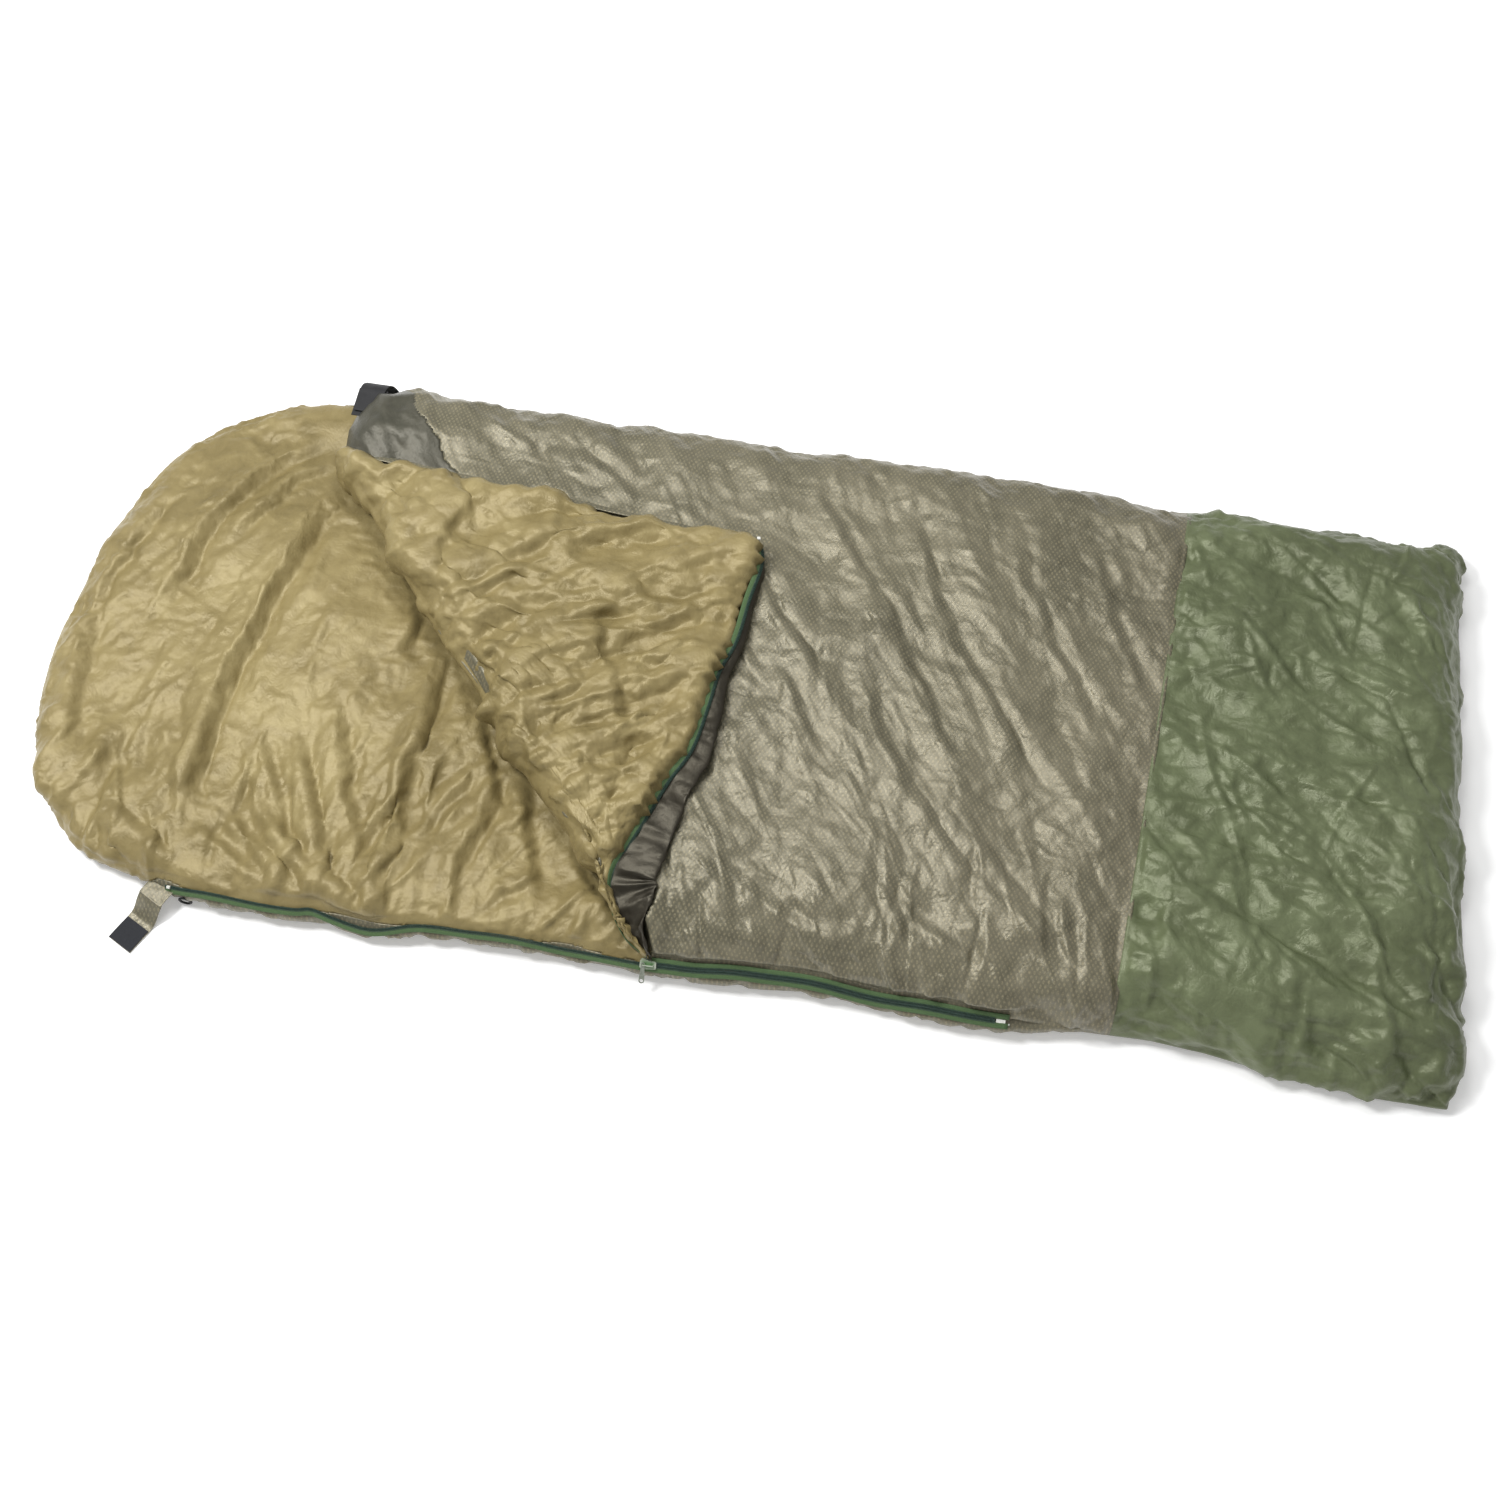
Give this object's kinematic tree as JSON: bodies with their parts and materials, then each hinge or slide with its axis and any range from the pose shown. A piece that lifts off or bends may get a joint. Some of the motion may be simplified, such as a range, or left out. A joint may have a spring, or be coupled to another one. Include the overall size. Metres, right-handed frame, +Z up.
{
  "type": "padded sleeping sack",
  "caption": "Padded sleeping sack with a rounded head end, square foot end, side zips and one head corner of the upper layer folded back.",
  "frame": {"origin": "middle of the underside, on the ground", "axes": "+X along the bag towards the foot end, -Y the side with the opened corner, +Z up"},
  "size_m": [2.1862, 1.0332, 0.1505],
  "materials": {
    "outer_shell": "taupe-grey fine diagonal dobby weave, slight sheen",
    "lining": "khaki-gold satin lining, soft sheen, crinkled",
    "wadding": "white hollow-fibre wadding",
    "foot_panel": "olive-green coated fabric, creased, satin sheen",
    "zip_tape": "leaf-green woven zip tape",
    "zip_coil": "teal-green coil teeth",
    "slider_paint": "green enamel over die-cast metal, worn edges",
    "pull_metal": "grey-green satin metal",
    "zip_ends": "white moulded plastic",
    "hook_tape": "black hook tape",
    "loop_tape": "black loop tape",
    "webbing": "black elastic webbing"
  },
  "bodies": {
    "bag": {"base_shell": "outer_shell", "base_insulation": "wadding", "base_lining": "lining", "cover_insulation": "wadding", "cover_lining": "lining", "cover_shell": "outer_shell", "foot_panel": "foot_panel", "near_lower_zip_tape": "zip_tape", "near_upper_zip_tape": "zip_tape", "near_lower_zip_coil": "zip_coil", "near_upper_zip_coil": "zip_coil", "near_insertion_pin": "zip_ends", "near_retainer_box": "zip_ends", "near_lower_top_stop": "zip_ends", "far_lower_zip_tape": "zip_tape", "far_upper_zip_tape": "zip_tape", "far_lower_zip_coil": "zip_coil", "far_upper_zip_coil": "zip_coil", "far_insertion_pin": "zip_ends", "far_retainer_box": "zip_ends", "far_lower_top_stop": "zip_ends", "far_upper_top_stop": "zip_ends", "far_loop_patch": "loop_tape", "hanging_loop": "webbing"},
    "flap": {"flap_insulation": "wadding", "flap_lining": "lining", "flap_shell": "outer_shell", "flap_loop_patch": "loop_tape", "flap_zip_tape": "zip_tape", "flap_zip_coil": "zip_coil", "flap_top_stop": "zip_ends"},
    "near_slider": {"near_slider": "slider_paint"},
    "near_pull": {"near_pull_tab": "pull_metal"},
    "near_tab": {"near_closure_tab": "outer_shell", "near_hook_patch": "hook_tape"},
    "far_slider": {"far_slider": "slider_paint"},
    "far_pull": {"far_pull_tab": "pull_metal"},
    "far_tab": {"far_closure_tab": "outer_shell", "far_hook_patch": "hook_tape"}
  },
  "joints": [
    {"name": "corner_fold", "type": "hinge", "parent": "bag", "child": "flap", "pos_m": [-0.066, -0.45, 0.111], "axis": [0.682, -0.7314, 0], "range_deg": [0, 184.5]},
    {"name": "near_slider_run", "type": "slide", "parent": "bag", "child": "near_slider", "axis": [-1, 0, 0], "range_m": [-0.49, 0.702]},
    {"name": "near_pull_swing", "type": "hinge", "parent": "near_slider", "child": "near_pull", "pos_m": [-0.073, -0.45738, 0.04538], "axis": [0, -0.7071, 0.7071], "range_deg": [-55, 66]},
    {"name": "near_tab_fold", "type": "hinge", "parent": "bag", "child": "near_tab", "pos_m": [-0.818, -0.4745, 0.03], "axis": [-0.893, 0.45, 0], "range_deg": [0, 138]},
    {"name": "far_slider_run", "type": "slide", "parent": "bag", "child": "far_slider", "axis": [1, 0, 0], "range_m": [0, 1.074]},
    {"name": "far_pull_swing", "type": "hinge", "parent": "far_slider", "child": "far_pull", "pos_m": [-0.657, 0.45738, 0.04538], "axis": [0, 0.7071, 0.7071], "range_deg": [-66, 38]},
    {"name": "far_tab_fold", "type": "hinge", "parent": "bag", "child": "far_tab", "pos_m": [-0.699, 0.4695, 0.03], "axis": [-1, 0, 0], "range_deg": [0, 125]}
  ]
}
